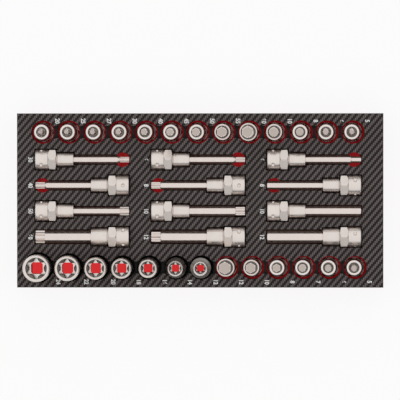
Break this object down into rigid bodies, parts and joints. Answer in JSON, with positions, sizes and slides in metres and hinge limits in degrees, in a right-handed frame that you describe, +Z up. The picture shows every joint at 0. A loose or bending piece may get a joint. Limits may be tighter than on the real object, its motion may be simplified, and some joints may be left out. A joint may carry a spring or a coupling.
{
  "type": "foam tool insert with bit sockets",
  "caption": "Two-layer foam drawer insert with a woven-look face film, holding half-inch-drive long and short bit sockets and outer-star sockets in cut pockets, each free to lift out.",
  "frame": {"origin": "centre of the underside of the foam block", "axes": "+X along the long side, to the right when the size marks are read; +Y towards the row of thirteen short bit sockets; +Z up, out of the pockets"},
  "size_m": [0.39, 0.1854, 0.0602],
  "materials": {
    "carbon_film": "satin",
    "black_foam": "matte",
    "red_foam": "matte",
    "chrome_steel": "satin",
    "bit_steel": "satin"
  },
  "bodies": {
    "insert": {"red_foam_layer": "red_foam", "black_foam_layer": "black_foam", "face_film": "carbon_film"},
    "tool_long_star_30": {"holder_long_star_30": "chrome_steel", "bit_long_star_30": "bit_steel"},
    "tool_long_star_40": {"holder_long_star_40": "chrome_steel", "bit_long_star_40": "bit_steel"},
    "tool_long_star_50": {"holder_long_star_50": "chrome_steel", "bit_long_star_50": "bit_steel"},
    "tool_long_star_60": {"holder_long_star_60": "chrome_steel", "bit_long_star_60": "bit_steel"},
    "tool_long_spline_6": {"holder_long_spline_6": "chrome_steel", "bit_long_spline_6": "bit_steel"},
    "tool_long_spline_8": {"holder_long_spline_8": "chrome_steel", "bit_long_spline_8": "bit_steel"},
    "tool_long_spline_10": {"holder_long_spline_10": "chrome_steel", "bit_long_spline_10": "bit_steel"},
    "tool_long_spline_12": {"holder_long_spline_12": "chrome_steel", "bit_long_spline_12": "bit_steel"},
    "tool_long_hex_6": {"holder_long_hex_6": "chrome_steel", "bit_long_hex_6": "bit_steel"},
    "tool_long_hex_8": {"holder_long_hex_8": "chrome_steel", "bit_long_hex_8": "bit_steel"},
    "tool_long_hex_10": {"holder_long_hex_10": "chrome_steel", "bit_long_hex_10": "bit_steel"},
    "tool_long_hex_12": {"holder_long_hex_12": "chrome_steel", "bit_long_hex_12": "bit_steel"},
    "tool_short_star_20": {"short_star_20": "chrome_steel"},
    "tool_short_star_25": {"short_star_25": "chrome_steel"},
    "tool_short_star_27": {"short_star_27": "chrome_steel"},
    "tool_short_star_30": {"short_star_30": "chrome_steel"},
    "tool_short_star_40": {"short_star_40": "chrome_steel"},
    "tool_short_star_45": {"short_star_45": "chrome_steel"},
    "tool_short_star_50": {"short_star_50": "chrome_steel"},
    "tool_short_star_55": {"short_star_55": "chrome_steel"},
    "tool_short_star_60": {"short_star_60": "chrome_steel"},
    "tool_short_spline_10": {"short_spline_10": "chrome_steel"},
    "tool_short_spline_8": {"short_spline_8": "chrome_steel"},
    "tool_short_spline_6": {"short_spline_6": "chrome_steel"},
    "tool_short_spline_5": {"short_spline_5": "chrome_steel"},
    "tool_short_hex_12": {"holder_short_hex_12": "chrome_steel", "bit_short_hex_12": "bit_steel"},
    "tool_short_hex_10": {"holder_short_hex_10": "chrome_steel", "bit_short_hex_10": "bit_steel"},
    "tool_short_hex_8": {"holder_short_hex_8": "chrome_steel", "bit_short_hex_8": "bit_steel"},
    "tool_short_hex_7": {"holder_short_hex_7": "chrome_steel", "bit_short_hex_7": "bit_steel"},
    "tool_short_hex_6": {"holder_short_hex_6": "chrome_steel", "bit_short_hex_6": "bit_steel"},
    "tool_short_hex_5": {"holder_short_hex_5": "chrome_steel", "bit_short_hex_5": "bit_steel"},
    "tool_outer_star_24": {"socket_outer_star_24": "chrome_steel"},
    "tool_outer_star_22": {"socket_outer_star_22": "chrome_steel"},
    "tool_outer_star_20": {"socket_outer_star_20": "chrome_steel"},
    "tool_outer_star_18": {"socket_outer_star_18": "chrome_steel"},
    "tool_outer_star_16": {"socket_outer_star_16": "chrome_steel"},
    "tool_outer_star_14": {"socket_outer_star_14": "chrome_steel"},
    "tool_outer_star_12": {"socket_outer_star_12": "chrome_steel"}
  },
  "joints": [
    {"name": "tool_long_star_30_lift", "type": "slide", "parent": "insert", "child": "tool_long_star_30", "axis": [0, 0, 1], "range_m": [0, 0.045]},
    {"name": "tool_long_star_40_lift", "type": "slide", "parent": "insert", "child": "tool_long_star_40", "axis": [0, 0, 1], "range_m": [0, 0.045]},
    {"name": "tool_long_star_50_lift", "type": "slide", "parent": "insert", "child": "tool_long_star_50", "axis": [0, 0, 1], "range_m": [0, 0.045]},
    {"name": "tool_long_star_60_lift", "type": "slide", "parent": "insert", "child": "tool_long_star_60", "axis": [0, 0, 1], "range_m": [0, 0.045]},
    {"name": "tool_long_spline_6_lift", "type": "slide", "parent": "insert", "child": "tool_long_spline_6", "axis": [0, 0, 1], "range_m": [0, 0.045]},
    {"name": "tool_long_spline_8_lift", "type": "slide", "parent": "insert", "child": "tool_long_spline_8", "axis": [0, 0, 1], "range_m": [0, 0.045]},
    {"name": "tool_long_spline_10_lift", "type": "slide", "parent": "insert", "child": "tool_long_spline_10", "axis": [0, 0, 1], "range_m": [0, 0.045]},
    {"name": "tool_long_spline_12_lift", "type": "slide", "parent": "insert", "child": "tool_long_spline_12", "axis": [0, 0, 1], "range_m": [0, 0.045]},
    {"name": "tool_long_hex_6_lift", "type": "slide", "parent": "insert", "child": "tool_long_hex_6", "axis": [0, 0, 1], "range_m": [0, 0.045]},
    {"name": "tool_long_hex_8_lift", "type": "slide", "parent": "insert", "child": "tool_long_hex_8", "axis": [0, 0, 1], "range_m": [0, 0.045]},
    {"name": "tool_long_hex_10_lift", "type": "slide", "parent": "insert", "child": "tool_long_hex_10", "axis": [0, 0, 1], "range_m": [0, 0.045]},
    {"name": "tool_long_hex_12_lift", "type": "slide", "parent": "insert", "child": "tool_long_hex_12", "axis": [0, 0, 1], "range_m": [0, 0.045]},
    {"name": "tool_short_star_20_lift", "type": "slide", "parent": "insert", "child": "tool_short_star_20", "axis": [0, 0, 1], "range_m": [0, 0.065]},
    {"name": "tool_short_star_25_lift", "type": "slide", "parent": "insert", "child": "tool_short_star_25", "axis": [0, 0, 1], "range_m": [0, 0.065]},
    {"name": "tool_short_star_27_lift", "type": "slide", "parent": "insert", "child": "tool_short_star_27", "axis": [0, 0, 1], "range_m": [0, 0.065]},
    {"name": "tool_short_star_30_lift", "type": "slide", "parent": "insert", "child": "tool_short_star_30", "axis": [0, 0, 1], "range_m": [0, 0.065]},
    {"name": "tool_short_star_40_lift", "type": "slide", "parent": "insert", "child": "tool_short_star_40", "axis": [0, 0, 1], "range_m": [0, 0.065]},
    {"name": "tool_short_star_45_lift", "type": "slide", "parent": "insert", "child": "tool_short_star_45", "axis": [0, 0, 1], "range_m": [0, 0.065]},
    {"name": "tool_short_star_50_lift", "type": "slide", "parent": "insert", "child": "tool_short_star_50", "axis": [0, 0, 1], "range_m": [0, 0.065]},
    {"name": "tool_short_star_55_lift", "type": "slide", "parent": "insert", "child": "tool_short_star_55", "axis": [0, 0, 1], "range_m": [0, 0.065]},
    {"name": "tool_short_star_60_lift", "type": "slide", "parent": "insert", "child": "tool_short_star_60", "axis": [0, 0, 1], "range_m": [0, 0.065]},
    {"name": "tool_short_spline_10_lift", "type": "slide", "parent": "insert", "child": "tool_short_spline_10", "axis": [0, 0, 1], "range_m": [0, 0.065]},
    {"name": "tool_short_spline_8_lift", "type": "slide", "parent": "insert", "child": "tool_short_spline_8", "axis": [0, 0, 1], "range_m": [0, 0.065]},
    {"name": "tool_short_spline_6_lift", "type": "slide", "parent": "insert", "child": "tool_short_spline_6", "axis": [0, 0, 1], "range_m": [0, 0.065]},
    {"name": "tool_short_spline_5_lift", "type": "slide", "parent": "insert", "child": "tool_short_spline_5", "axis": [0, 0, 1], "range_m": [0, 0.065]},
    {"name": "tool_short_hex_12_lift", "type": "slide", "parent": "insert", "child": "tool_short_hex_12", "axis": [0, 0, 1], "range_m": [0, 0.065]},
    {"name": "tool_short_hex_10_lift", "type": "slide", "parent": "insert", "child": "tool_short_hex_10", "axis": [0, 0, 1], "range_m": [0, 0.065]},
    {"name": "tool_short_hex_8_lift", "type": "slide", "parent": "insert", "child": "tool_short_hex_8", "axis": [0, 0, 1], "range_m": [0, 0.065]},
    {"name": "tool_short_hex_7_lift", "type": "slide", "parent": "insert", "child": "tool_short_hex_7", "axis": [0, 0, 1], "range_m": [0, 0.065]},
    {"name": "tool_short_hex_6_lift", "type": "slide", "parent": "insert", "child": "tool_short_hex_6", "axis": [0, 0, 1], "range_m": [0, 0.065]},
    {"name": "tool_short_hex_5_lift", "type": "slide", "parent": "insert", "child": "tool_short_hex_5", "axis": [0, 0, 1], "range_m": [0, 0.065]},
    {"name": "tool_outer_star_24_lift", "type": "slide", "parent": "insert", "child": "tool_outer_star_24", "axis": [0, 0, 1], "range_m": [0, 0.065]},
    {"name": "tool_outer_star_22_lift", "type": "slide", "parent": "insert", "child": "tool_outer_star_22", "axis": [0, 0, 1], "range_m": [0, 0.065]},
    {"name": "tool_outer_star_20_lift", "type": "slide", "parent": "insert", "child": "tool_outer_star_20", "axis": [0, 0, 1], "range_m": [0, 0.065]},
    {"name": "tool_outer_star_18_lift", "type": "slide", "parent": "insert", "child": "tool_outer_star_18", "axis": [0, 0, 1], "range_m": [0, 0.065]},
    {"name": "tool_outer_star_16_lift", "type": "slide", "parent": "insert", "child": "tool_outer_star_16", "axis": [0, 0, 1], "range_m": [0, 0.065]},
    {"name": "tool_outer_star_14_lift", "type": "slide", "parent": "insert", "child": "tool_outer_star_14", "axis": [0, 0, 1], "range_m": [0, 0.065]},
    {"name": "tool_outer_star_12_lift", "type": "slide", "parent": "insert", "child": "tool_outer_star_12", "axis": [0, 0, 1], "range_m": [0, 0.065]}
  ]
}
